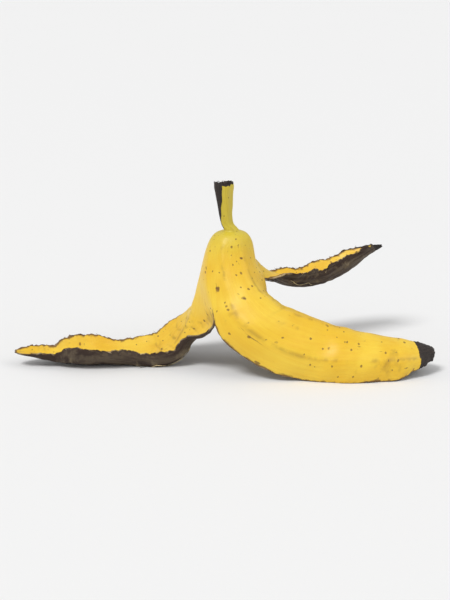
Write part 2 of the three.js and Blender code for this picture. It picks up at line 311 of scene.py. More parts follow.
def around(radius, turn, height):
    """Places round the vertical: at a radius, an angle in radians and a height."""
    flat = np.broadcast_arrays(radius * np.cos(turn), radius * np.sin(turn), height)
    return np.stack(flat, axis=-1)


def full_turn(count):
    """Angles in radians, evenly spread round a circle."""
    return np.linspace(0, 2 * np.pi, count, endpoint=False)


def ripple(places, wavelength, seed, waves=14):
    """Smooth noise between about -1 and 1 at places in the plane, space or along a line.

    It is the sum of sine waves with random directions and phases, and wavelengths spread from
    0.7 to 1.5 times the one asked for.
    """
    places = np.asarray(places, float)
    random = np.random.default_rng(seed)
    directions = unit(random.normal(size=(places.shape[-1], waves)).T).T
    pitch = wavelength * random.uniform(0.7, 1.5, waves)
    phase = random.uniform(0, 2 * np.pi, waves)
    return np.sin(places @ (directions * 2 * np.pi / pitch) + phase).sum(-1) / np.sqrt(waves * 1.6)


def line_ripple(station, wavelength, seed):
    """Smooth noise between about -1 and 1 along a line."""
    return ripple(np.asarray(station, float)[..., None], wavelength, seed, waves=7)


def near(distance, amount, reach):
    """An amount that dies away with the distance."""
    return amount * np.exp(-distance / reach)


def layered(kind, places, layers, shift=0):
    """Ripples of one kind on top of each other, each (height, wavelength, seed)."""
    return sum(height * kind(places, wavelength, seed + shift)
               for height, wavelength, seed in layers)


def banana_radius(s):
    return table_value(BANANA_RADIUS, s)


def flap_before(f):
    """The flap that shares the tear on the other side of flap f."""
    return FLAPS[(f - 1) % len(FLAPS)]


def frame_box():
    return [np.array(corner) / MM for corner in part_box(FRAME_NODE)]


def head_share(s):
    """1 where the sectors are still parts of the round banana, 0 where a flap hangs free."""
    return 1 - smooth(s, HEAD_JOINED_TO, HEAD_FREE_FROM)


# --- the surface of one flap --------------------------------------------------------------------

def midline(flap, stations):
    """Points of the mid-line: the running sum of its direction half-way between stations.

    The direction is the flap's lift plus the slope of the banana's own shoulder, which stops
    steering it along the fade.
    """
    step = stations[1] - stations[0]
    half = stations[:-1] + step / 2
    low = np.maximum(half - SLOPE_STEP, 0)
    high = half + SLOPE_STEP
    slope = (banana_radius(high) - banana_radius(low)) / (high - low)
    shoulder = np.arcsin(np.clip(slope, -STEEPEST, STEEPEST)) * (1 - smooth(half, *SLOPE_FADE))
    tilt = np.radians(table_value(flap["lift"], half)) + shoulder
    turn = np.radians(table_value(flap["heading"], half))
    direction = around(np.sin(tilt), turn, -np.cos(tilt))
    first = around(banana_radius(0.0), np.radians(flap["heading"][0][1]), NECK_HEIGHT)[None]
    return np.vstack([first, first + np.cumsum(direction * step, axis=0)])


def strip_width(flap, s):
    """Width of the strip along its section: a share of the girth, rounded off at its tip."""
    girth = mix(table_value(flap["share"], s), flap["sector"], head_share(s))
    width = banana_radius(s) * np.radians(girth)
    if flap["taper"]:
        into = np.clip((s - flap["length"] + flap["taper"]) / flap["taper"], 0, TAPER_END)
        width = width * np.sqrt(1 - into ** TAPER_POWER)
    return width


def sections(flap, stations):
    """Mid-line, sideways and outward directions, and curvature and width of the sections."""
    turn, lift, roll = (
        np.radians(table_value(flap[name], stations)) for name in ("heading", "lift", "roll"))
    level = np.stack([-np.sin(turn), np.cos(turn), np.zeros_like(turn)], axis=1)
    out = around(np.cos(lift), turn, np.sin(lift))
    side = level * np.cos(roll)[:, None] + out * np.sin(roll)[:, None]
    proud = out * np.cos(roll)[:, None] - level * np.sin(roll)[:, None]
    width = strip_width(flap, stations)
    arc = np.radians(mix(table_value(flap["sweep"], stations), flap["sector"], head_share(stations)))
    return midline(flap, stations), side, proud, bent(arc / width), width


def bent(curvature):
    """A curvature that is never quite zero, so that an arc can be divided by it."""
    return np.where(np.abs(curvature) < LEAST_BEND, LEAST_BEND, curvature)


def strip_points(flap, stations, across):
    """Smooth skin of a flap: two circular arcs across, carried along the mid-line.

    across is the place over the width at each row and column, -1 and 1 at the nominal edges. The
    second arc is the lip: it starts part of the way to one edge and turns back by its own angle.
    """
    middle, side, proud, bend, width = sections(flap, stations)
    bend, half = bend[:, None], width[:, None] / 2
    start = LIP_FROM * half
    distance = flap["lip_side"] * across * half
    inner = np.minimum(distance, start)
    beyond = distance - inner
    lip = np.radians(table_value(flap["lip"], stations))[:, None]
    lip_bend = bent(bend - lip / (half - start))
    turned, ended = bend * inner, bend * inner + lip_bend * beyond
    sideways = np.sin(turned) / bend + (np.sin(ended) - np.sin(turned)) / lip_bend
    inwards = (np.cos(turned) - 1) / bend + (np.cos(ended) - np.cos(turned)) / lip_bend
    return (middle[:, None] + flap["lip_side"] * sideways[..., None] * side[:, None]
            + inwards[..., None] * proud[:, None])


def tear_path(seam, stations, sizes):
    """How far a tear strays sideways: nothing above its split, then a slow wander and small teeth."""
    flap = FLAPS[seam]
    stray = layered(line_ripple, stations, TEAR_LAYERS, seam)
    start = flap["split_at"]
    return sizes.tear_wander * stray * smooth(stations, start, start + STRAY_OVER)


def frayed(stations, flap, shift):
    """The small extra stray of the pith's edge against the skin's, below a flap's split."""
    stray = layered(line_ripple, stations, FRAY_LAYERS, shift)
    return stray * smooth(stations, flap["split_at"], flap["split_at"] + FRAY_OVER)


def place_across(f, stations, sizes, fray):
    """Place over the width at each row and column, its ends moved to where the tears run.

    The two flaps beside a tear share one path, so what one gains there the other has lost.
    """
    flap, before = FLAPS[f], flap_before(f)
    half_width = strip_width(flap, stations) / 2
    reach = np.minimum(half_width, STRAY_REACH)
    room = smooth(half_width, *STRAY_ROOM)
    nominal = np.linspace(-1, 1, flap["columns"] + 1)[None]
    plus = tear_path(f, stations, sizes)
    minus = -tear_path((f - 1) % len(FLAPS), stations, sizes)
    if fray:
        plus = plus + frayed(stations, flap, 2 * f)
        minus = minus + frayed(stations, before, 10 + 2 * f)
    if flap["name"] == STANDING_FLAP:
        held = STANDING_STRAY * smooth(stations, *STANDING_FROM)
        plus, minus = (np.minimum(stray, STANDING_STRAY) - held for stray in (plus, minus))
    near_plus, near_minus = (
        smooth(1 - (1 - side * nominal) * half_width[:, None] / reach[:, None], 0, 1)
        for side in (1, -1))
    scale = (room / half_width)[:, None]
    return nominal + near_plus * plus[:, None] * scale - near_minus * minus[:, None] * scale


def close_seams(grids, stations):
    """Draws the facing edges of two neighbours together where they are joined or just torn."""
    for f, grid in enumerate(grids):
        following = grids[(f + 1) % len(grids)]
        rows = min(len(grid), len(following))
        start = FLAPS[f]["split_at"]
        hold = 1 - smooth(stations[f][:rows], start, start + FLAPS[f]["open_over"])
        middle = (grid[:rows, -1] + following[:rows, 0]) / 2
        pull = (middle - grid[:rows, -1]) * hold[:, None]
        next_pull = (middle - following[:rows, 0]) * hold[:, None]
        share = smooth(np.linspace(-1, 1, grid.shape[1]), 0, 1)
        next_share = smooth(np.linspace(1, -1, following.shape[1]), 0, 1)
        grid[:rows] += share[None, :, None] * pull[:, None]
        following[:rows] += next_share[None, :, None] * next_pull[:, None]


def ridge_bearings():
    bearings = [flap["heading"][0][1] + u * flap["sector"] / 2
                for flap in FLAPS for u in flap["ridges"]]
    return np.sort(np.array(bearings) % 360)


def facet_shape(bearing, s, rounding):
    """How far a facet lies inside the round banana, and how near its ridge is, from 0 to 1.

    Between two ridges the facet is a parabola, with the distance to each ridge rounded off.
    """
    ridges = ridge_bearings()
    k = np.searchsorted(ridges, bearing % 360, side="right") - 1
    behind = (bearing % 360 - ridges[k]) % 360
    span = (np.roll(ridges, -1)[k] - ridges[k]) % 360
    scale = np.radians(1) * banana_radius(s)
    soft = [np.sqrt((d * scale) ** 2 + rounding ** 2) - rounding for d in (behind, span - behind)]
    depth = FACET_DEPTH * banana_radius(s) * 4 * soft[0] * soft[1] / (span * scale) ** 2
    nearest = np.minimum(behind, span - behind) * scale
    fade = smooth(s, 0, HEAD_JOINED_TO)
    return depth * fade, np.exp(-(nearest / RIDGE_WIDTH) ** 2) * fade


def crease_marks(f, stations, across):
    """Depth from 0 to 1 of the creases across a flap's bends: narrow, wavy, fading sideways."""
    flap = FLAPS[f]
    random = np.random.default_rng(300 + f)
    marks = np.zeros(across.shape)
    for first, last, count, middle in flap["bends"]:
        for place in np.linspace(first, last, count):
            at = place + random.uniform(-1.5, 1.5) + random.uniform(-3, 3) * across
            at = at + 1.4 * line_ripple(across * 10, 7, random.integers(1000))
            narrow = random.uniform(0.55, 1.0)
            centre = middle + random.uniform(-0.45, 0.45)
            reach = random.uniform(0.25, 0.6)
            depth = random.uniform(0.4, 1.0)
            fade = np.exp(-((across - centre) / reach) ** 2)
            marks += depth * fade * np.exp(-((stations[:, None] - at) / narrow) ** 2)
    return np.clip(marks, 0, 1)


def wall_at(flap, s):
    """The peel's thickness: the head's, then the flap's own, changing towards its tip."""
    own = mix(HEAD_WALL, flap["wall"], smooth(s, *WALL_FADE))
    return own * mix(1, flap["tip_wall"], smooth(s, flap["length"] - TIP_LENGTH, flap["length"]))


def torn_distance(f, stations):
    """Distance of each row and column from the nearest tear or end, in millimetres."""
    flap = FLAPS[f]
    nominal = np.linspace(-1, 1, flap["columns"] + 1)[None]
    half_width = strip_width(flap, stations)[:, None] / 2
    s = stations[:, None]
    plus, minus = (
        np.hypot((1 - side * nominal) * half_width, np.maximum(torn["split_at"] - s, 0))
        for side, torn in ((1, flap), (-1, flap_before(f))))
    return np.minimum(np.minimum(plus, minus), flap["length"] - s)


def dark_end(f, stations, rest):
    """1 on the dried end of a flap: its length is the table's at the edges and in the middle."""
    flap = FLAPS[f]
    edge, centre = DARK_ENDS[flap["name"]]
    nominal = np.abs(np.linspace(-1, 1, flap["columns"] + 1))[None]
    reach = mix(centre, edge, nominal) + 0.8 * ripple(rest, 6, 500 + f)
    from_end = flap["length"] - stations[:, None]
    return 1 - smooth(from_end - reach, -DARK_BLEND, DARK_BLEND)


# --- the whole shell ----------------------------------------------------------------------------

def sew(numbers, flipped=False):
    """Quads between the rows of a grid of point numbers."""
    quads = np.stack(
        [numbers[:-1, :-1], numbers[1:, :-1], numbers[1:, 1:], numbers[:-1, 1:]], axis=-1)
    quads = quads.reshape(-1, 4)
    return quads[:, ::-1] if flipped else quads


def shrinking(steps):
    """Sizes of the rings that lead from a rim to its middle, without the rim and the middle."""
    return np.linspace(1, 0, steps + 1)[1:-1, None, None]


def ring_closed(numbers):
    """A grid of rings of point numbers, with its first column repeated at the end."""
    return np.concatenate([numbers, numbers[:, :1]], axis=1)


def vertex_normals(points, quads):
    """Unit normals: the sum of the crossed diagonals of the quads round each point."""
    crossed = np.cross(points[quads[:, 2]] - points[quads[:, 0]],
                       points[quads[:, 3]] - points[quads[:, 1]])
    total = np.zeros_like(points)
    for corner in range(4):
        np.add.at(total, quads[:, corner], crossed)
    return unit(total)


class Side:
    """One side of the peel, skin or pith: three grids of points that share their joined edges."""

    def __init__(self, stations, sizes, fray):
        self.stations = stations
        self.across = [place_across(f, stations[f], sizes, fray) for f in range(len(FLAPS))]
        grids = [strip_points(flap, stations[f], self.across[f]) for f, flap in enumerate(FLAPS)]
        close_seams(grids, stations)
        self.shapes = [grid.shape[:2] for grid in grids]
        starts = np.cumsum([0] + [rows * columns for rows, columns in self.shapes])
        self.numbers = [np.arange(starts[f], starts[f + 1]).reshape(self.shapes[f])
                        for f in range(len(FLAPS))]
        for f, flap in enumerate(FLAPS):
            joined = np.flatnonzero(stations[f] <= flap["split_at"])
            self.numbers[f][joined, -1] = self.numbers[(f + 1) % len(FLAPS)][joined, 0]
        self.points = np.concatenate([grid.reshape(-1, 3) for grid in grids])
        quads = np.concatenate([sew(numbers) for numbers in self.numbers])
        self.normals = vertex_normals(self.points, quads)

    def gather(self, grids):
        """One row for each point, from one grid for each flap. A single column is repeated."""
        return np.concatenate([
            np.broadcast_to(grid, shape + grid.shape[2:]).reshape(-1, *grid.shape[2:])
            for grid, shape in zip(grids, self.shapes)])

    def bearing(self, f):
        return FLAPS[f]["heading"][0][1] + self.across[f] * FLAPS[f]["sector"] / 2

    def rest(self, f, depth):
        """Places on the closed banana, a depth under its skin, with -Z along it."""
        s = self.stations[f][:, None]
        return around(banana_radius(s) - depth, np.radians(self.bearing(f)), -s)


def stem_rings(bearings, heights):
    """Rings of the stem: a soft pentagon round a leaning middle, with fine long ribs."""
    table = np.array(STEM)
    radius = table_value(table[:, [0, 1]], heights)[:, None]
    lean = table_value(table[:, [0, 2]], heights)[:, None]
    turn = np.radians(bearings)[None]
    twist = turn + STEM_TWIST * heights[:, None]
    grown = smooth(heights, 0, 3)[:, None]
    ribs = 0.07 * line_ripple(twist * 10, 2.6, 700) + 0.05 * np.sin(STEM_RIBS * twist)
    shape = 1 + STEM_FACET * np.cos(STEM_SIDES * turn) * grown
    r = radius * shape + ribs * grown
    top = heights[-1]
    cut = (CUT_WAVE * np.sin(2 * turn + CUT_BEARING) + 0.35 * line_ripple(turn * 10, 5, 701)
           - 0.35) * smooth(heights, top - 3, top)[:, None]
    upright = around(r, turn, NECK_HEIGHT + heights[:, None] + cut)
    return upright - lean[..., None] * [1, 0, 0]


def cut_face(rim):
    """The stem's cut: rings shrinking to the middle, dished under a rough rim and a raised core."""
    share = shrinking(CUT_STEPS)
    middle = rim.mean(axis=0)
    points = middle + (rim - middle)[None] * share
    rough = layered(ripple, points, CUT_LAYERS)
    dish = -0.5 * smooth(1 - share[..., 0], 0.05, 0.35) + 0.9 * smooth(1 - share[..., 0], 0.5, 0.9)
    points[..., 2] += dish + rough * smooth(1 - share[..., 0], 0, 0.2)
    return points, middle + np.array([0, 0, 0.45])


def stem_darkness(bearings, heights):
    """1 on the stem's side that is in painted shade, a wedge that narrows from the cut towards the
    neck, and 1 on the top rows next to the cut.
    """
    half = mix(22, 66, smooth(heights, 0, 26))[:, None]
    off = np.abs((bearings[None] - SHADED_SIDE + 180) % 360 - 180)
    wander = 2.5 * line_ripple(heights, 9, 720)[:, None]
    wedge = 1 - smooth(off - half + wander, -7, 7)
    return np.maximum(wedge * smooth(heights, -1, 3)[:, None], smooth(heights, 27.4, 28.4)[:, None])


class Gather:
    """Collects points with their values, and faces with what they are made of."""

    VALUES = ("torn", "ridge", "crease", "dark", "aged")
    FAR = {"torn": 60.0, "ridge": 0.0, "crease": 0.0, "dark": 0.0, "aged": 0.0}
    KINDS = ("skin", "pith", "torn", "cut")

    def __init__(self):
        self.points = np.zeros((0, 3))
        self.rest = np.zeros((0, 3))
        self.values = {name: np.zeros(0) for name in self.VALUES}
        self.faces = []
        self.kinds = []

    def add(self, points, rest, **values):
        """Adds a grid of points and returns the grid of their numbers."""
        grid = np.shape(points)[:-1]
        points = np.reshape(points, (-1, 3))
        numbers = len(self.points) + np.arange(len(points)).reshape(grid)
        self.points = np.vstack([self.points, points])
        self.rest = np.vstack([self.rest, np.reshape(rest, (-1, 3))])
        for name in self.VALUES:
            given = np.broadcast_to(np.ravel(values.get(name, self.FAR[name])), (len(points),))
            self.values[name] = np.concatenate([self.values[name], given])
        return numbers

    def put(self, kind, faces):
        self.faces.append(np.asarray(faces))
        self.kinds.append(np.full(len(faces), self.KINDS.index(kind)))

    def sew(self, kind, numbers, flipped=False):
        self.put(kind, sew(np.asarray(numbers), flipped))

    def fan(self, kind, ring, centre, flipped=False):
        """Triangles from a ring of point numbers to the point in its middle."""
        following = np.roll(ring, -1)
        pair = (following, ring) if flipped else (ring, following)
        self.put(kind, np.stack([np.full(len(ring), centre), *pair], axis=1))

    def settle(self, base):
        """Moves everything to the frame's box, and flattens what would go through the floor."""
        low, high = frame_box()
        used = np.unique(np.concatenate([face.ravel() for face in self.faces]))
        base = base[used[used < len(base)]]
        self.shift = (low + high) / 2 - (base.min(axis=0) + base.max(axis=0)) / 2
        self.shift[2] = high[2] - (NECK_HEIGHT + STEM[-1][0] + CUT_CROWN)
        self.points = self.points + self.shift
        self.points[:, 2] = np.maximum(self.points[:, 2], 0)

    def lists(self):
        """Points, faces, kinds and values with unused points left out."""
        used = np.unique(np.concatenate([face.ravel() for face in self.faces]))
        renumber = np.full(len(self.points), -1)
        renumber[used] = np.arange(len(used))
        faces = [face for group in self.faces for face in renumber[group].tolist()]
        values = {name: value[used] for name, value in self.values.items()}
        return self.points[used], faces, np.concatenate(self.kinds), self.rest[used], values


def build_shell(sizes):
    """The peel as one closed surface: points, faces, what each face is, and values at the points."""
    stations = [np.arange(round(flap["length"] / sizes.row_step) + 1) * sizes.row_step
                for flap in FLAPS]
    skin, pith = (Side(stations, sizes, fray) for fray in (False, True))
    flaps = range(len(FLAPS))

    down = [along[:, None] for along in stations]
    walls = [wall_at(FLAPS[f], down[f]) for f in flaps]
    skin_rests = [skin.rest(f, 0) for f in flaps]
    skin_rest = skin.gather(skin_rests)
    pith_rest = pith.gather([pith.rest(f, walls[f]) for f in flaps])
    inset, ridge = (skin.gather(grids) for grids in zip(*(
        facet_shape(skin.bearing(f), down[f], sizes.ridge_rounding) for f in flaps)))
    crease = skin.gather([crease_marks(f, stations[f], skin.across[f]) for f in flaps])
    distance = skin.gather([torn_distance(f, stations[f]) for f in flaps])
    dark = skin.gather([dark_end(f, stations[f], skin_rests[f]) for f in flaps])
    # How dark the whole inner side is made: partly browning, partly painted shade.
    aged = pith.gather([FLAPS[f]["aged"] * smooth(down[f], *AGED_AND_SHADE_OVER) for f in flaps])
    free = skin.gather([smooth(along, *LIMP_OVER) for along in down])
    wall = skin.gather(walls)

    dents = sizes.limpness * layered(ripple, skin_rest, DENT_LAYERS)
    wave = ripple(skin_rest, 17, 3) * near(distance, *EDGE_WAVE)
    soft = dents * mix(0.35, 1, free) + wave * free
    creased = sizes.crease_depth * crease
    shrivel = dark * (0.28 * ripple(skin_rest, 2.4, 4)
                      + 0.2 * ripple(skin_rest * [1, 1, 0.25], 1.6, 5))
    skin_lift = soft - inset - creased + shrivel - near(distance, *SKIN_DROP)
    cords = sizes.cord_height * (ripple(pith_rest * [1, 1, 0.09], 4.2, 6)
                                 + 0.5 * ripple(pith_rest * [1, 1, 0.12], 2.5, 7))
    pith_lift = (soft - wall * (1 - near(distance, *WALL_THINNING)) - 0.45 * creased
                 + cords * mix(0.5, 1, free) + 0.12 * ripple(pith_rest, 5, 8))

    shell = Gather()
    shared = {"torn": distance, "crease": crease, "dark": dark}
    on_skin = shell.add(
        skin.points + skin.normals * skin_lift[:, None], skin_rest, ridge=ridge, **shared)
    on_pith = shell.add(
        pith.points + pith.normals * pith_lift[:, None], pith_rest, aged=aged, **shared)
    skin_numbers = [on_skin[numbers] for numbers in skin.numbers]
    pith_numbers = [on_pith[numbers] for numbers in pith.numbers]
    first = round(CAVITY_START / sizes.row_step)
    for f in flaps:
        shell.sew("skin", skin_numbers[f])
        shell.sew("pith", pith_numbers[f][first:], flipped=True)

    bearings = np.concatenate([skin.bearing(f)[0, :-1] for f in flaps])
    neck = np.concatenate([numbers[0, :-1] for numbers in skin_numbers])
    add_stem(shell, neck, bearings)
    add_roof(shell, np.concatenate([numbers[first, :-1] for numbers in pith_numbers]))
    add_torn_edges(shell, skin_numbers, pith_numbers, stations)
    base = np.concatenate([skin.points, pith.points - pith.normals * wall[:, None]])
    shell.settle(base)
    shell.skin_grids = [shell.points[numbers] for numbers in skin_numbers]
    shell.pith_grids = [shell.points[numbers] for numbers in pith_numbers]
    shell.pith_normals = [-pith.normals[numbers] for numbers in pith.numbers]
    return shell


def add_stem(shell, neck, bearings):
    """The solid stem from the neck up, and its cut face."""
    heights = np.linspace(0, STEM[-1][0], STEM_ROWS)[1:]
    rings = stem_rings(bearings, heights)
    rest = around(STEM_REST_RADIUS, np.radians(bearings)[None], heights[:, None])
    # The stem's dark value is painted shade down one side, and the dried cut rim at the top.
    numbers = shell.add(rings, rest, dark=stem_darkness(bearings, heights))
    shell.sew("skin", ring_closed(np.vstack([numbers[::-1], neck[None]])))

    face, middle = cut_face(rings[-1])
    inner = shell.add(face, face - [0, 0, NECK_HEIGHT], dark=1.0)
    centre = shell.add(middle, [0, 0, STEM[-1][0]], dark=1.0)
    shell.sew("cut", ring_closed(np.vstack([inner[::-1], numbers[-1:]])))
    shell.fan("cut", inner[-1], centre)


def add_roof(shell, ring):
    """The top of the hollow: rings shrinking to a small nub where the fruit came away."""
    outer, rest = shell.points[ring], shell.rest[ring]
    share = shrinking(ROOF_STEPS)
    middle, rest_middle = outer.mean(axis=0), rest.mean(axis=0)
    points = middle + (outer - middle)[None] * share
    nub = 1.4 * smooth(1 - share[..., 0], 0.55, 0.9)
    points[..., 2] += 0.8 * smooth(1 - share[..., 0], 0, 0.5) - nub + 0.2 * ripple(points, 1.8, 730)
    numbers = shell.add(points, rest_middle + (rest - rest_middle)[None] * share)
    centre = shell.add(middle + [0, 0, -0.7], rest_middle)
    shell.sew("pith", ring_closed(np.vstack([numbers[::-1], ring[None]])), flipped=True)
    shell.fan("pith", numbers[-1], centre, flipped=True)


def add_torn_edges(shell, skin_numbers, pith_numbers, stations):
    """The torn wall round every flap: down one side, round the tip and up the other side.

    Between the skin's edge and the pith's lie a few rough lines that bulge outwards. The lines
    at the top of a split are shared by the two flaps that part there.
    """
    paths = []
    for f, flap in enumerate(FLAPS):
        rows = np.arange(len(stations[f]))
        minus, plus = (rows[np.flatnonzero(stations[f] <= torn["split_at"])[-1]:]
                       for torn in (flap_before(f), flap))
        plus = plus[::-1]
        paths.append(np.stack([
            np.concatenate([grid[minus, 0], grid[-1, 1:-1], grid[plus, -1]])
            for grid in (skin_numbers[f], pith_numbers[f])]))

    middles = []
    for f, (outer, inner) in enumerate(paths):
        skin_edge, pith_edge = shell.points[outer], shell.points[inner]
        along = unit(np.gradient((skin_edge + pith_edge) / 2, axis=0))
        outward = unit(np.cross(along, unit(skin_edge - pith_edge)))
        rest = shell.rest[outer]
        ends = np.ones(len(outer))
        ends[[0, -1]] = 0
        lines = []
        for line in range(1, EDGE_LINES + 1):
            share = line / (EDGE_LINES + 1)
            bulge = ends * (0.3 * np.sin(np.pi * share)
                            + layered(ripple, rest, EDGE_LAYERS, line))
            lines.append(mix(skin_edge, pith_edge, share) + outward * bulge[:, None])
        points = np.stack(lines, axis=1)[:-1]
        rest_lines = np.repeat(rest[:-1, None], EDGE_LINES, axis=1)
        dark = np.repeat(shell.values["dark"][outer][:-1, None], EDGE_LINES, axis=1)
        middles.append(shell.add(points, rest_lines, torn=0.0, dark=dark))

    for f, (outer, inner) in enumerate(paths):
        following = middles[(f + 1) % len(middles)][:1]
        lines = np.vstack([middles[f], following])
        shell.sew("torn", np.hstack([outer[:, None], lines, inner[:, None]]), flipped=True)


# --- the dried end, loose strings and fibres ----------------------------------------------------

def blossom_end(shell):
    """The dried stub at the front flap's tip: a rough five-sided plug with a ragged, dished end."""
    flap = FLAPS[0]
    stations = np.linspace(flap["length"] - STUB_FROM, flap["length"] - STUB_TO, STUB_ROWS)
    middle, side, proud, bend, _ = sections(flap, stations)
    centre = middle - proud / bend[:, None] + proud * 0.5
    turn = full_turn(STUB_COLUMNS)[None]
    share = np.linspace(0, 1, len(stations))[:, None]
    size = mix(*STUB_RADII, smooth(share, 0, 0.5)) * mix(1, 0.86, smooth(share, 0.6, 1))
    place = around(STUB_PLACE_RADIUS, turn, STUB_FROM * share)
    rough = 0.22 * ripple(place * [1, 1, 0.3], 1.9, 900) + 0.14 * ripple(place, 1.1, 901)
    radius = size * (1 + 0.09 * np.cos(5 * turn)) + rough
    lobes = 0.45 * np.maximum(np.sin(5 * turn + 0.8), -0.2) * smooth(share, 0.75, 1)
    along = unit(np.gradient(centre, axis=0))
    wall = (centre[:, None] + (radius * np.cos(turn))[..., None] * side[:, None]
            + (radius * np.sin(turn))[..., None] * proud[:, None]
            + lobes[..., None] * along[:, None])
    inward = shrinking(STUB_CAP_STEPS)
    base = centre[-1] - 1.1 * along[-1] * smooth(1 - inward, 0, 0.5)
    cap = base + (wall[-1][None] - centre[-1]) * inward
    cap = cap + 0.25 * ripple(cap, 1.4, 902)[..., None] * along[-1]
    start_cap = centre[0] + (wall[:1] - centre[0]) * 0.4 - 1.5 * along[0]
    rings = np.concatenate([start_cap, wall, cap])
    numbers = np.arange(rings.shape[0] * rings.shape[1]).reshape(rings.shape[:2])
    faces = sew(ring_closed(numbers), flipped=True).tolist()
    faces.append(numbers[0].tolist())
    faces.append(numbers[-1][::-1].tolist())
    points = rings.reshape(-1, 3) + shell.shift
    points[:, 2] = np.maximum(points[:, 2], STUB_MARGIN)
    return points, faces


def tubes(paths, thickness, flatness=1.0, sides=6):
    """Thin closed strands along paths of shape (strands, points, 3), pointed at both ends.

    Each ring lies across its path: one direction is level, the other is across both.
    """
    along = unit(np.gradient(paths, axis=1))
    level = unit(np.cross(along, [0.21, 0.13, 0.97]))
    upright = np.cross(level, along)
    share = np.linspace(0, 1, paths.shape[1])
    size = (thickness[:, None] / 2 * (0.25 + 0.75 * np.sin(np.pi * share) ** 0.3))[..., None, None]
    turn = full_turn(sides)[:, None]
    rings = (paths[:, :, None] + size * np.cos(turn) * level[:, :, None]
             + size * flatness * np.sin(turn) * upright[:, :, None])
    strands, rows = paths.shape[:2]
    numbers = np.arange(strands * rows * sides).reshape(strands, rows, sides)
    faces = np.concatenate([sew(ring_closed(strand)) for strand in numbers]).tolist()
    faces += numbers[:, 0].tolist() + numbers[:, -1, ::-1].tolist()
    return rings.reshape(-1, 3), faces


def sample(grid, rows, columns):
    """Values of a grid at fractional rows and columns, from the four points round each."""
    rows = np.clip(rows, 0, grid.shape[0] - 1.001)
    columns = np.clip(columns, 0, grid.shape[1] - 1.001)
    r, c = rows.astype(int), columns.astype(int)
    down, over = (rows - r)[..., None], (columns - c)[..., None]
    upper = mix(grid[r, c], grid[r, c + 1], over)
    lower = mix(grid[r + 1, c], grid[r + 1, c + 1], over)
    return mix(upper, lower, down)


def loose_strings(shell, sizes):
    """Strings of pith: they run along the inner side, arch off it and end a little free."""
    random = np.random.default_rng(1200)
    share = np.linspace(0, 1, STRING_POINTS)
    paths, thickness = [], []
    for k in range(sizes.string_count):
        f = (2, 1, 0)[k % 3]
        length = FLAPS[f]["length"]
        start = random.uniform(0.3, 0.62) * length
        reach = random.uniform(26, 58)
        stations = np.minimum(start + reach * share, length - 8)
        columns = (random.uniform(0.12, 0.88) + random.uniform(-0.12, 0.12) * share
                   + 0.035 * line_ripple(share * reach, 13, 1210 + k)) * FLAPS[f]["columns"]
        rows = stations / sizes.row_step
        on = sample(shell.pith_grids[f], rows, columns)
        normal = unit(sample(shell.pith_normals[f], rows, columns))
        arch = random.uniform(0.3, 1.7) * np.sin(np.pi * share) ** 2
        free = random.uniform(0, 2.4) * smooth(share, 0.72, 1)
        paths.append(on + normal * (0.12 + arch + free)[:, None])
        thickness.append(random.uniform(0.6, 1.15))
    points, faces = tubes(np.array(paths), np.array(thickness), flatness=0.55)
    points[:, 2] = np.maximum(points[:, 2], STRING_MARGIN)
    return points, faces


def tear_fibres(shell, row_step):
    """Short hairs that stand out of the torn edges, most of them along the tear."""
    random = np.random.default_rng(1300)
    share = np.linspace(0, 1, HAIR_POINTS)[:, None]
    paths, thickness = [], []
    for f, flap in enumerate(FLAPS):
        skin, pith = shell.skin_grids[f], shell.pith_grids[f]
        for side, inner, torn in ((0, 4, flap_before(f)), (-1, -5, flap)):
            first = int(torn["split_at"] / row_step) + 2
            for row in random.integers(first, len(skin) - 6, HAIRS_ON_EDGE):
                at = mix(skin[row, side], pith[row, side], random.uniform(0.25, 0.95))
                outward = unit(skin[row, side] - skin[row, inner])
                along = unit(skin[row + 4, side] - skin[row, side]) * random.choice([-1, 1])
                go = unit(outward * random.uniform(0.3, 0.9) + along + random.normal(0, 0.25, 3))
                curl = unit(random.normal(0, 1, 3)) * random.uniform(0.1, 0.5)
                length = random.uniform(1.2, 3.4)
                paths.append(at - 0.3 * outward + (go * share + curl * share ** 2) * length)
                thickness.append(random.uniform(0.12, 0.24))
    points, faces = tubes(np.array(paths), np.array(thickness), sides=5)
    low, high = frame_box()
    return np.clip(points, low + HAIR_MARGIN, high - HAIR_MARGIN), faces


def stem_fibres(shell, sizes):
    """Frayed ends of the stem's strands: they start on the cut and lean outwards."""
    random = np.random.default_rng(1400)
    height, radius, lean = STEM[-1]
    count = sizes.fibre_count
    turn = random.uniform(0, 2 * np.pi, count)
    out = radius * np.sqrt(random.uniform(0.15, 0.9, count))
    start = around(out, turn, NECK_HEIGHT + height - 0.9) - [lean, 0, 0] + shell.shift
    lean_out = random.uniform(0, 1.0, count)
    go = unit(around(lean_out, turn, 1.0) + random.normal(0, 0.15, (count, 3)))
    share = np.linspace(0, 1, HAIR_POINTS)[None, :, None]
    length = random.uniform(0.6, 1.4, count)[:, None, None]
    paths = start[:, None] + go[:, None] * share * length
    points, faces = tubes(paths, random.uniform(0.18, 0.42, count), sides=5)
    points[:, 2] = np.minimum(points[:, 2], frame_box()[1][2] - FIBRE_MARGIN)
    return points, faces


# --- shader building blocks ---------------------------------------------------------------------

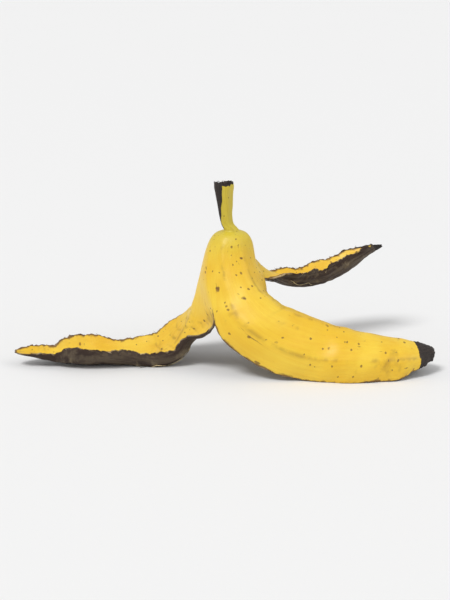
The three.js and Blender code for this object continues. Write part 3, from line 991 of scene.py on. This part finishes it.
class Tree:
    """Adds nodes to a tree. An input is given as a number, a colour or another node's socket."""

    def __init__(self, tree):
        self.tree = tree

    def add(self, kind, inputs=None, **settings):
        node = self.tree.nodes.new(kind)
        for name, value in settings.items():
            setattr(node, name, value)
        for name, value in (inputs or {}).items():
            if isinstance(value, bpy.types.NodeSocket):
                self.tree.links.new(value, node.inputs[name])
            else:
                node.inputs[name].default_value = value
        return node

    def attribute(self, name, output="Fac"):
        return self.add("ShaderNodeAttribute", attribute_name=name).outputs[output]

    def maths(self, operation, a, b=0.0, clamp=False):
        node = self.add("ShaderNodeMath", {0: a, 1: b}, operation=operation, use_clamp=clamp)
        return node.outputs[0]

    def times(self, a, b):
        return self.maths("MULTIPLY", a, b)

    def plus(self, a, b, clamp=False):
        return self.maths("ADD", a, b, clamp)

    def most(self, a, b):
        return self.maths("MAXIMUM", a, b)

    def vectors(self, operation, a, b):
        """Vector maths. b is a number where the operation is to scale, and else a vector."""
        second = "Scale" if operation == "SCALE" else 1
        node = self.add("ShaderNodeVectorMath", {0: a, second: b}, operation=operation)
        return node.outputs[0]

    def blend(self, share, a, b, how="MIX"):
        """Mixes two colours, each a socket or red, green and blue."""
        a, b = (c if isinstance(c, bpy.types.NodeSocket) else (*c, 1.0) for c in (a, b))
        node = self.add(
            "ShaderNodeMix", {0: share, 6: a, 7: b}, data_type="RGBA", blend_type=how)
        return node.outputs[2]

    def between(self, value, low, high, start=0.0, end=1.0):
        node = self.add("ShaderNodeMapRange", {
            "Value": value, "From Min": low, "From Max": high, "To Min": start, "To Max": end,
        }, interpolation_type="SMOOTHSTEP")
        return node.outputs[0]

    def noise(self, place, scale, detail=3.0, roughness=0.55):
        node = self.add("ShaderNodeTexNoise", {
            "Vector": place, "Scale": scale, "Detail": detail, "Roughness": roughness})
        return node.outputs["Fac"]

    def shared(self, name, **inputs):
        """Uses one of the shared groups, which is made the first time."""
        group = bpy.data.node_groups.get(name) or make_group(name)
        return self.add("ShaderNodeGroup", inputs, node_tree=group).outputs[0]

    def fibres(self, place, pitch, stretch):
        return self.shared("Long fibres", Place=place, Pitch=pitch, Stretch=stretch)

    def patches(self, place, size, threshold, softness):
        return self.shared(
            "Patches", Place=place, Size=size, Threshold=threshold, Softness=softness)

    def spots(self, place, spacing, largest, ragged):
        return self.shared(
            "Sugar spots", Place=place, Spacing=spacing, Largest=largest, Ragged=ragged)

    def rim(self, place, distance, reach, pitch):
        return self.shared(
            "Darkened rim", Place=place, Distance=distance, Reach=reach, Pitch=pitch)


def long_fibres(tree, given):
    """Long fibres: noise that is stretched along the banana."""
    across = tree.maths("DIVIDE", 1.0, given["Pitch"])
    along = tree.maths("DIVIDE", across, given["Stretch"])
    scale = tree.add("ShaderNodeCombineXYZ", {"X": across, "Y": across, "Z": along}).outputs[0]
    place = tree.vectors("MULTIPLY", given["Place"], scale)
    return tree.between(tree.noise(place, 1.0, detail=3.5, roughness=0.6), 0.3, 0.7)


def sugar_spots(tree, given):
    """Spots of many sizes: cells whose own random number sets how large their spot is."""
    scale = tree.maths("DIVIDE", 1.0, given["Spacing"])
    place = tree.vectors("SCALE", given["Place"], scale)
    wobble = tree.add("ShaderNodeTexNoise", {"Vector": place, "Scale": 4.0, "Detail": 3.0})
    centred = tree.vectors("SUBTRACT", wobble.outputs["Color"], (0.5, 0.5, 0.5))
    moved = tree.vectors("ADD", place, tree.vectors("SCALE", centred, given["Ragged"]))
    cells = tree.add("ShaderNodeTexVoronoi", {"Vector": moved, "Scale": 1.0})
    chance = tree.add("ShaderNodeSeparateColor", {0: cells.outputs["Color"]}).outputs[0]
    radius = tree.times(tree.maths("POWER", chance, 1.8), given["Largest"])
    return tree.between(cells.outputs["Distance"], tree.times(radius, 0.55), radius, 1.0, 0.0)


def soft_patches(tree, given):
    """Soft patches: noise above a threshold."""
    noise = tree.noise(given["Place"], tree.maths("DIVIDE", 1.0, given["Size"]), detail=4.0)
    low = tree.maths("SUBTRACT", given["Threshold"], given["Softness"])
    return tree.between(noise, low, tree.plus(given["Threshold"], given["Softness"]))


def darkened_rim(tree, given):
    """Darkening that starts at a tear and reaches in unevenly."""
    noise = tree.noise(given["Place"], tree.maths("DIVIDE", 1.0, given["Pitch"]), detail=4.0)
    reach = tree.times(given["Reach"], tree.between(noise, 0.3, 0.72, 0.15, 1.5))
    return tree.between(given["Distance"], tree.times(reach, 0.2), reach, 1.0, 0.0)


# The shared groups: how each is made, what its output is called, and its numbers to start from.
GROUPS = {
    "Long fibres": (long_fibres, "Fibre", {"Pitch": 1.0, "Stretch": 14.0}),
    "Sugar spots": (sugar_spots, "Spot", {"Spacing": 6.0, "Largest": 0.35, "Ragged": 0.35}),
    "Patches": (soft_patches, "Patch", {"Size": 20.0, "Threshold": 0.55, "Softness": 0.12}),
    "Darkened rim": (darkened_rim, "Rim", {"Distance": 10.0, "Reach": 4.0, "Pitch": 5.0}),
}


def make_group(name):
    """Makes a shared group: a place and some numbers go in and one number comes out."""
    recipe, output, numbers = GROUPS[name]
    group = bpy.data.node_groups.new(name, "ShaderNodeTree")
    group.interface.new_socket(name="Place", in_out="INPUT", socket_type="NodeSocketVector")
    for label, value in numbers.items():
        socket = group.interface.new_socket(
            name=label, in_out="INPUT", socket_type="NodeSocketFloat")
        socket.default_value = value
    group.interface.new_socket(name=output, in_out="OUTPUT", socket_type="NodeSocketFloat")
    tree = Tree(group)
    made = recipe(tree, tree.add("NodeGroupInput").outputs)
    tree.add("NodeGroupOutput", {output: made})
    return group


def start_tree(name):
    """The empty tree of a new material."""
    material = bpy.data.materials.new(name)
    material.use_nodes = True
    material.node_tree.nodes.clear()
    tree = Tree(material.node_tree)
    tree.material = material
    return tree


def start_material(name):
    """The tree of a new material on the peel, and the place on the closed banana."""
    tree = start_tree(name)
    return tree, tree.attribute("rest", "Vector")


def finish_material(tree, colour, roughness, heights, **plain):
    """Ends a material: bumps in a row, each (height, distance in metres), and the shader."""
    normal = None
    for height, distance in heights:
        inputs = {"Height": height, "Distance": distance, "Strength": 1.0}
        if normal is not None:
            inputs["Normal"] = normal
        normal = tree.add("ShaderNodeBump", inputs).outputs[0]
    inputs = {"Base Color": colour, "Roughness": roughness, "Normal": normal}
    inputs.update({name.replace("_", " ").title(): value for name, value in plain.items()})
    shader = tree.add("ShaderNodeBsdfPrincipled", inputs)
    tree.add("ShaderNodeOutputMaterial", {"Surface": shader.outputs[0]})
    return tree.material


# --- finishes -----------------------------------------------------------------------------------

def skin_finish(colours):
    """Waxy yellow skin: patches, a green neck, brown ridges, scuffs, sugar spots, dark ends, and
    painted shade down one side of the stem.
    """
    tree, place = start_material("banana_skin")
    height = tree.add("ShaderNodeSeparateXYZ", {0: place}).outputs[2]
    torn, ridge, crease, dark = (
        tree.attribute(name) for name in ("torn", "ridge", "crease", "dark"))
    fibre = tree.fibres(place, 1.3, 16.0)
    colour = tree.blend(tree.patches(place, 26.0, 0.5, 0.16), colours.ripe, colours.pale)
    colour = tree.blend(tree.times(fibre, 0.16), colour, colours.ripe, "MULTIPLY")
    unripe = tree.times(tree.between(height, -26.0, 4.0), 0.62)
    colour = tree.blend(unripe, colour, colours.green)

    bruise = tree.times(tree.patches(place, 15.0, 0.67, 0.07), 0.45)
    worn = tree.patches(place, 7.0, 0.52, 0.1)
    line = tree.times(tree.times(tree.maths("POWER", ridge, 3.0), worn), 0.38)
    long_place = tree.vectors("MULTIPLY", place, (1.0, 1.0, 0.16))
    scuff = tree.times(tree.patches(long_place, 1.5, 0.71, 0.035), 0.7)
    spots = tree.most(tree.times(tree.spots(place, 3.2, 0.32, 0.3), 0.75),
                      tree.times(tree.spots(place, 11.0, 0.24, 0.26), 0.9))
    folded = tree.times(crease, tree.between(tree.noise(place, 0.3), 0.35, 0.6, 0.1, 0.5))
    browned = tree.most(tree.times(tree.rim(place, torn, 2.0, 4.0), 0.92), folded)
    for mark in (bruise, line, scuff, spots, browned):
        colour = tree.blend(mark, colour, colours.freckle)

    stray = tree.times(tree.maths("SUBTRACT", tree.noise(place, 0.9), 0.5), 0.7)
    # The dark value gives the dried ends, and on the stem it is also painted shade down one side.
    ends = tree.between(tree.plus(dark, stray), 0.35, 0.65)
    dried = tree.blend(fibre, colours.dried, [2.6 * c for c in colours.dried])
    colour = tree.blend(ends, colour, dried)

    marks = tree.most(spots, browned)
    roughness = tree.plus(0.42, tree.times(fibre, 0.08))
    roughness = tree.plus(roughness, tree.times(marks, 0.18))
    roughness = tree.plus(roughness, tree.times(ends, 0.3), clamp=True)
    pores = tree.noise(place, 1.9, detail=2.0)
    wrinkled = tree.vectors("MULTIPLY", place, (1.0, 1.0, 0.3))
    shrunk = tree.times(tree.noise(wrinkled, 1.1), ends)
    return finish_material(
        tree, colour, roughness,
        [(fibre, 0.00008), (pores, 0.00009), (tree.maths("SUBTRACT", 1.0, marks), 0.00012),
         (shrunk, 0.0009)],
        coat_weight=0.12, coat_roughness=0.25)


def pith_finish(colours):
    """Corded cream pith that has browned from the tears inwards and in patches, and on some flaps is
    darkened all over as browning and painted shade together.
    """
    tree, place = start_material("banana_pith")
    torn, crease, dark, aged = (
        tree.attribute(name) for name in ("torn", "crease", "dark", "aged"))
    fibre = tree.fibres(place, 0.9, 22.0)
    cords = tree.fibres(place, 2.6, 18.0)
    shade = tree.blend(0.55, colours.pith, colours.browned)
    colour = tree.blend(tree.times(fibre, 0.4), colours.pith, shade)

    browned = tree.most(
        tree.rim(place, torn, 11.0, 9.0), tree.times(tree.patches(place, 16.0, 0.56, 0.1), 0.55))
    cloud = tree.between(tree.noise(place, 0.12), 0.25, 0.5, 0.72, 1.0)
    # The aged value darkens whole inner sides: partly browning, partly painted shade.
    browned = tree.most(tree.most(browned, crease), tree.times(aged, cloud))
    browned = tree.times(browned, tree.between(cords, 0.15, 0.9, 0.92, 1.0))
    colour = tree.blend(browned, colour, colours.browned)
    edge = tree.times(tree.rim(place, torn, 3.0, 3.0), 0.75)
    colour = tree.blend(edge, colour, colours.browned)
    colour = tree.blend(tree.between(dark, 0.3, 0.75), colour, colours.dried)

    grain = tree.noise(place, 2.4, detail=3.0)
    return finish_material(
        tree, colour, tree.plus(0.62, tree.times(cords, 0.2)),
        [(cords, 0.00035), (fibre, 0.00022), (grain, 0.00012)])


def torn_finish(colours):
    """The torn wall between skin and pith: stringy, cream in places and browned."""
    tree, place = start_material("banana_torn_edge")
    fibre = tree.fibres(place, 0.6, 9.0)
    colour = tree.blend(tree.patches(place, 9.0, 0.44, 0.16), colours.pith, colours.browned)
    colour = tree.blend(tree.times(fibre, 0.55), colour, colours.freckle)
    dark = tree.between(tree.attribute("dark"), 0.3, 0.7)
    colour = tree.blend(dark, colour, colours.dried)
    grain = tree.noise(place, 2.2, detail=4.0)
    return finish_material(
        tree, colour, tree.plus(0.66, tree.times(grain, 0.2)), [(fibre, 0.0003), (grain, 0.00035)])


def dried_finish(name, colours, light):
    """Dry, nearly black plant fibre, lighter by a factor on its high spots."""
    tree, place = start_material(name)
    fibre = tree.fibres(place, 0.55, 6.0)
    share = tree.times(fibre, tree.patches(place, 2.4, 0.52, 0.14))
    bright = [min(light * c, 1.0) for c in colours.dried]
    colour = tree.blend(share, colours.dried, bright)
    grain = tree.noise(place, 2.0, detail=4.0)
    return finish_material(
        tree, colour, tree.plus(0.6, tree.times(grain, 0.3)), [(fibre, 0.0003), (grain, 0.0004)])


def string_finish(colours):
    """Half-dried strings: pith colour with browned stretches."""
    tree, place = start_material("pith_string")
    colour = tree.blend(tree.patches(place, 6.0, 0.5, 0.12), colours.pith, colours.browned)
    grain = tree.noise(place, 2.5, detail=3.0)
    return finish_material(tree, colour, tree.plus(0.55, tree.times(grain, 0.2)), [(grain, 0.00015)])


def floor_finish(colour):
    """Plain matt floor with hardly any cloud in it."""
    tree = start_tree("floor")
    place = tree.add("ShaderNodeTexCoord").outputs["Object"]
    cloud = tree.times(tree.noise(place, 3.0), 0.05)
    shade = tree.blend(cloud, colour, [0.9 * c for c in colour])
    return finish_material(tree, shade, 0.75, [(tree.noise(place, 900.0), 0.00004)])


# --- pieces and the stage -----------------------------------------------------------------------

def new_object(name, data):
    made = bpy.data.objects.new(name, data)
    bpy.context.scene.collection.objects.link(made)
    return made


def new_piece(name, points, faces, materials, kinds=None, rest=None, values=None):
    """A smooth mesh object at the origin, with its place in its mesh and its attributes."""
    mesh = bpy.data.meshes.new(name)
    mesh.from_pydata((points * MM).tolist(), [], faces)
    mesh.polygons.foreach_set("use_smooth", np.ones(len(mesh.polygons), bool))
    for material in materials:
        mesh.materials.append(material)
    if kinds is not None:
        mesh.polygons.foreach_set("material_index", kinds.astype(np.int32))
    place = points if rest is None else rest
    attribute = mesh.attributes.new("rest", "FLOAT_VECTOR", "POINT")
    attribute.data.foreach_set("vector", np.ravel(place).astype(np.float32))
    for label, value in (values or {}).items():
        attribute = mesh.attributes.new(label, "FLOAT", "POINT")
        attribute.data.foreach_set("value", value.astype(np.float32))
    mesh.update()
    return new_object(name, mesh)


def loose_piece(name, made, finish):
    """A piece of one finish that lies on the peel: made is its points and faces."""
    piece = new_piece(name, *made, [finish])
    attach(piece, FRAME_BODY)


class PEEL_OT_peel(bpy.types.Operator):
    """Build the torn peel itself: skin, pith, torn edges and stem as one closed mesh"""

    bl_idname = "peel.peel"
    bl_label = "Peel"

    def execute(self, context):
        colours = context.scene.peel_colours
        points, faces, kinds, rest, values = build_shell(context.scene.peel_sizes).lists()
        finishes = [skin_finish(colours), pith_finish(colours), torn_finish(colours),
                    dried_finish("stem_cut", colours, 5.0)]
        piece = new_piece("peel", points, faces, finishes, kinds, rest, values)
        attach(piece, FRAME_BODY)
        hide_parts(FRAME_NODE)
        return {"FINISHED"}


class PEEL_OT_blossom_end(bpy.types.Operator):
    """Build the dried stub at the tip of the front flap"""

    bl_idname = "peel.blossom_end"
    bl_label = "Blossom end"

    def execute(self, context):
        made = blossom_end(build_shell(context.scene.peel_sizes))
        finish = dried_finish("blossom_end", context.scene.peel_colours, 2.6)
        loose_piece("blossom_end", made, finish)
        return {"FINISHED"}


class PEEL_OT_strings(bpy.types.Operator):
    """Build the loose strings of pith and the hairs along the tears"""

    bl_idname = "peel.strings"
    bl_label = "Strings and hairs"

    def execute(self, context):
        sizes = context.scene.peel_sizes
        shell = build_shell(sizes)
        finish = string_finish(context.scene.peel_colours)
        loose_piece("pith_strings", loose_strings(shell, sizes), finish)
        loose_piece("tear_fibres", tear_fibres(shell, sizes.row_step), finish)
        return {"FINISHED"}


class PEEL_OT_stem_fibres(bpy.types.Operator):
    """Build the frayed fibres on the snapped stem"""

    bl_idname = "peel.stem_fibres"
    bl_label = "Stem fibres"

    def execute(self, context):
        sizes = context.scene.peel_sizes
        made = stem_fibres(build_shell(sizes), sizes)
        finish = dried_finish("stem_fibre", context.scene.peel_colours, 3.0)
        loose_piece("stem_fibres", made, finish)
        return {"FINISHED"}


def facing(direction):
    """The rotation of a camera or light that looks along a direction."""
    return direction.to_track_quat("-Z", "Y").to_euler()


def add_sun(name, energy, softness, towards):
    light = bpy.data.lights.new(name, "SUN")
    light.energy = energy
    light.angle = np.radians(softness)
    new_object(name, light).rotation_euler = facing(Vector(towards))


class PEEL_OT_stage(bpy.types.Operator):
    """Build the plain floor, the soft lights and the camera"""

    bl_idname = "peel.stage"
    bl_label = "Stage"

    def execute(self, context):
        stage = context.scene.peel_stage
        points = around(stage.floor_radius / MM, full_turn(FLOOR_POINTS), 0.0)
        floor = new_piece("floor", points, [list(range(len(points)))],
                          [floor_finish(stage.floor_colour)])

        context.scene.view_settings.view_transform = "Standard"
        world = bpy.data.worlds.new("studio")
        world.use_nodes = True
        sky = world.node_tree.nodes["Background"]
        sky.inputs["Color"].default_value = (1.0, 1.0, 1.0, 1.0)
        sky.inputs["Strength"].default_value = stage.sky_strength
        context.scene.world = world
        add_sun("key", stage.key_strength, 22, (0.45, 0.5, -1.0))
        add_sun("fill", stage.fill_strength, 40, (-0.9, 0.35, -0.7))

        rise = np.radians(stage.elevation)
        back = Vector((0.0, -np.cos(rise), np.sin(rise)))
        camera = new_object("camera", bpy.data.cameras.new("camera"))
        camera.data.lens = stage.lens
        camera.data.sensor_fit = "AUTO"
        camera.location = Vector(stage.aim) + back * stage.distance
        camera.rotation_euler = facing(-back)
        context.scene.camera = camera
        return {"FINISHED"}


class PEEL_PT_panel(bpy.types.Panel):
    """Lists the pieces and their settings"""

    bl_label = "Banana peel"
    bl_idname = "PEEL_PT_panel"
    bl_space_type = "VIEW_3D"
    bl_region_type = "UI"
    bl_category = "Peel"

    def draw(self, context):
        for operator in OPERATORS:
            self.layout.operator(operator.bl_idname)
        for settings in (context.scene.peel_sizes, context.scene.peel_colours,
                         context.scene.peel_stage):
            box = self.layout.box()
            for name in settings.__annotations__:
                box.prop(settings, name)


OPERATORS = (PEEL_OT_peel, PEEL_OT_blossom_end, PEEL_OT_strings, PEEL_OT_stem_fibres,
             PEEL_OT_stage)
SETTINGS = {"peel_sizes": PeelSizes, "peel_colours": PeelColours, "peel_stage": StageSettings}
CLASSES = (*SETTINGS.values(), *OPERATORS, PEEL_PT_panel)


def register():
    for kind in CLASSES:
        bpy.utils.register_class(kind)
    for name, group in SETTINGS.items():
        setattr(bpy.types.Scene, name, PointerProperty(type=group))


def unregister():
    for name in SETTINGS:
        delattr(bpy.types.Scene, name)
    for kind in reversed(CLASSES):
        bpy.utils.unregister_class(kind)


def main():
    register()
    bpy.ops.peel.peel()
    bpy.ops.peel.blossom_end()
    bpy.ops.peel.strings()
    bpy.ops.peel.stem_fibres()
    bpy.ops.peel.stage()
    bpy.context.view_layer.update()


if __name__ == "__main__":
    main()
